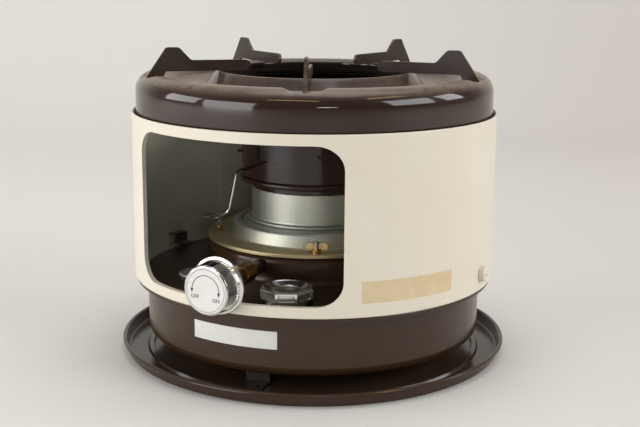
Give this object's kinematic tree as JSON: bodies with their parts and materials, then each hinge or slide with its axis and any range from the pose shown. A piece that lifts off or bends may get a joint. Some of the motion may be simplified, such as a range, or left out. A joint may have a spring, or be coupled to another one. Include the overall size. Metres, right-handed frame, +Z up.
{
  "type": "round wick-fed kerosene cooking stove",
  "caption": "Round kerosene cooking stove: enamelled tank, wick raised by a chrome knob, lift-out burner in a casing with a front window, lift-off top plate with pot supports, and a drip tray.",
  "frame": {"origin": "centre of the drip tray's underside, on the surface that the stove stands on", "axes": "+Z up along the stove's axis; the casing's window and the wick knob face -Y; +X to the right seen from the front"},
  "size_m": [0.3567, 0.3649, 0.2772],
  "materials": {
    "brown_enamel": "gloss",
    "cream_enamel": "semi-gloss",
    "black_paint": "semi-gloss",
    "zinc_plate": "satin",
    "bright_steel": "satin",
    "burnt_steel": "matte",
    "chrome_plate": "polished",
    "brass": "satin",
    "black_rubber": "matte",
    "graphite_packing": "matte",
    "cotton_wick": "matte",
    "cork": "matte",
    "white_print_disc": "gloss",
    "dial_card": "matte",
    "clear_lens": "polished",
    "mica_sheet": "satin",
    "red_needle": "gloss"
  },
  "bodies": {
    "stove": {"drip_tray": "brown_enamel", "tank_legs": "black_paint", "tank_pan": "brown_enamel", "tank_top": "brown_enamel", "air_tube": "bright_steel", "flange_gasket": "black_rubber", "wick_housing": "zinc_plate", "housing_studs": "bright_steel", "wing_nuts": "brass", "shaft_gland": "black_paint", "gland_packing": "graphite_packing", "packing_nut": "brass", "filler_neck": "bright_steel", "filler_strainer": "bright_steel", "gauge_frame": "bright_steel", "gauge_dial": "dial_card", "gauge_bezel": "chrome_plate", "gauge_lens": "clear_lens", "casing": "cream_enamel", "plate_ledge": "cream_enamel", "hook_pocket": "cream_enamel", "hook_tongue": "bright_steel", "catch_bracket": "bright_steel"},
    "wick_drive": {"wick_shaft": "bright_steel", "wick_pinion": "brass", "wick_knob": "chrome_plate", "knob_disc": "white_print_disc"},
    "wick_lift": {"wick": "cotton_wick", "wick_carrier": "bright_steel", "wick_rack": "bright_steel"},
    "seal": {"cap_seal": "black_rubber"},
    "cap": {"filler_cap": "chrome_plate"},
    "float": {"gauge_float": "cork"},
    "needle": {"gauge_needle": "red_needle"},
    "catch": {"side_catch": "cream_enamel"},
    "top": {"top_plate": "brown_enamel", "pot_support_1": "brown_enamel", "pot_support_2": "brown_enamel", "pot_support_3": "brown_enamel", "pot_support_4": "brown_enamel", "pot_support_5": "brown_enamel"},
    "burner": {"burner_base": "brown_enamel", "burner_shell": "brown_enamel", "mica_window": "mica_sheet", "outer_flame_tube": "burnt_steel", "inner_flame_tube": "burnt_steel", "flame_spreader": "burnt_steel", "cross_pins": "bright_steel", "wire_handle": "bright_steel"}
  },
  "joints": [
    {"name": "knob_turn", "type": "hinge", "parent": "stove", "child": "wick_drive", "pos_m": [0, -0.12, 0.0945], "axis": [0, 1, 0], "range_deg": [0, 180.01]},
    {"name": "wick_raise", "type": "slide", "parent": "stove", "child": "wick_lift", "axis": [0, 0, 1], "range_m": [0, 0.01414]},
    {"name": "seal_lift", "type": "slide", "parent": "stove", "child": "seal", "axis": [0, 0, 1], "range_m": [0, 0.005]},
    {"name": "cap_turn", "type": "hinge", "parent": "seal", "child": "cap", "pos_m": [0.03952, -0.12385, 0.082], "axis": [0, 0, 1], "range_deg": [0, 720.1]},
    {"name": "float_rise", "type": "slide", "parent": "stove", "child": "float", "axis": [0, 0, 1], "range_m": [0, 0.032]},
    {"name": "needle_turn", "type": "hinge", "parent": "stove", "child": "needle", "pos_m": [-0.05622, -0.11276, 0.08], "axis": [0, 0, 1], "range_deg": [0, 90.1]},
    {"name": "catch_turn", "type": "hinge", "parent": "stove", "child": "catch", "pos_m": [0.16, 0, 0.086], "axis": [1, 0, 0], "range_deg": [0, 90]},
    {"name": "top_plate_lift", "type": "slide", "parent": "stove", "child": "top", "axis": [0, 0, 1], "range_m": [0, 0.06]},
    {"name": "burner_lift", "type": "slide", "parent": "stove", "child": "burner", "axis": [0, 0, 1], "range_m": [0, 0.012]}
  ],
  "couplings": [
    {"joint": "knob_turn", "follows": "wick_raise", "rad_per_m": 222.22},
    {"joint": "cap_turn", "follows": "seal_lift", "rad_per_m": 2513.3},
    {"joint": "needle_turn", "follows": "float_rise", "rad_per_m": 49.087}
  ]
}
